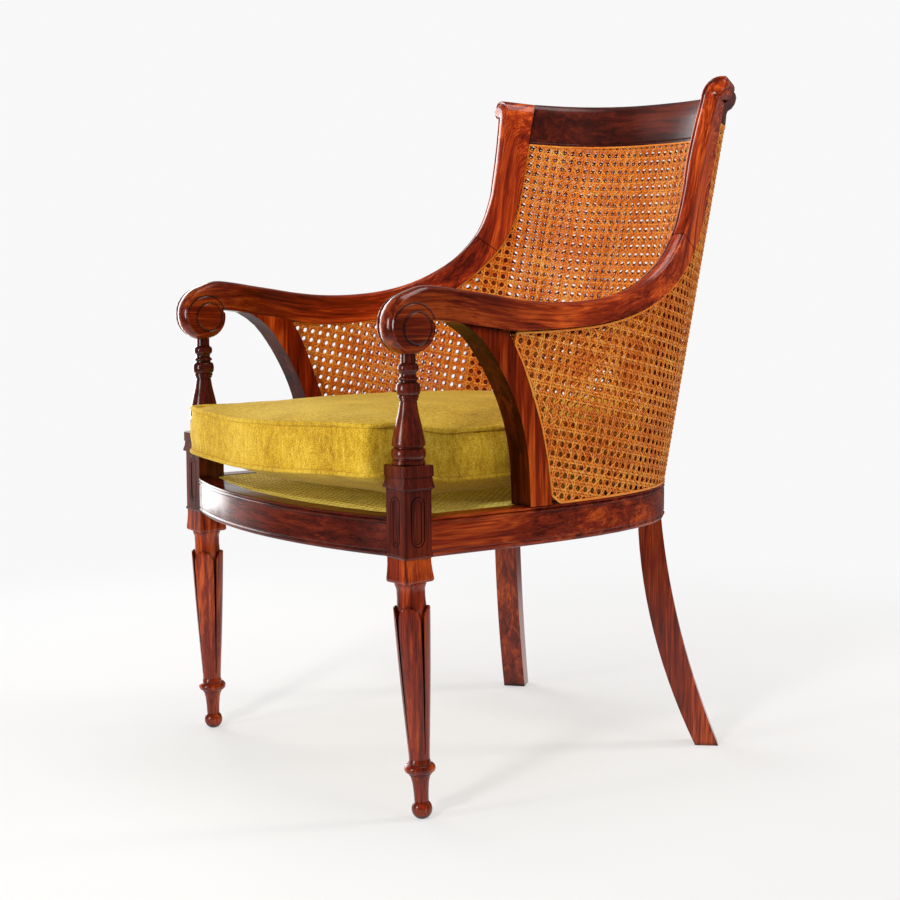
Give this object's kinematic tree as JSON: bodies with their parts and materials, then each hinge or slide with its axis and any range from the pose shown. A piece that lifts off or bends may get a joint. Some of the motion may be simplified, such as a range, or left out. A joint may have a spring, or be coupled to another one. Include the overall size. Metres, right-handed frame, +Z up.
{
  "type": "cane tub chair",
  "caption": "Mahogany tub armchair with scrolled reeded arms, a back and sides caned inside and out, turned leaf-carved front legs and a loose ochre velvet box cushion.",
  "frame": {"origin": "on the floor, in the middle of the chair from side to side and from front to back", "axes": "+X towards the sitter's left, +Y towards the back, +Z up; the chair's front faces -Y"},
  "size_m": [0.5766, 0.732, 0.9266],
  "materials": {
    "mahogany": "polished, striped grain",
    "mahogany_dark": "polished",
    "beech": "plain sawn",
    "rattan_cane": "satin, hand-woven six-way cane",
    "seat_cane": "satin, hand-woven six-way cane",
    "ochre_velvet": "short-pile velvet"
  },
  "bodies": {
    "frame": {"front_leg_left": "mahogany", "front_leg_right": "mahogany", "arm_post_left": "mahogany_dark", "arm_post_right": "mahogany_dark", "front_rail": "mahogany", "side_rail_left": "mahogany", "side_rail_right": "mahogany", "back_rail": "mahogany", "rear_leg_left": "mahogany", "rear_leg_right": "mahogany", "corner_block_front_left": "beech", "corner_block_front_right": "beech", "corner_block_rear_left": "beech", "corner_block_rear_right": "beech", "arm_support_left": "mahogany_dark", "arm_support_right": "mahogany_dark", "arm_left": "mahogany", "arm_right": "mahogany", "back_stile_left": "mahogany", "back_stile_right": "mahogany", "crest_rail": "mahogany_dark", "outer_cane": "rattan_cane", "inner_cane": "rattan_cane", "seat_cane": "seat_cane"},
    "cushion": {"seat_cushion": "ochre_velvet"}
  },
  "joints": [
    {"name": "cushion_lift", "type": "slide", "parent": "frame", "child": "cushion", "axis": [0, 0, 1], "range_m": [0, 0.3]}
  ]
}
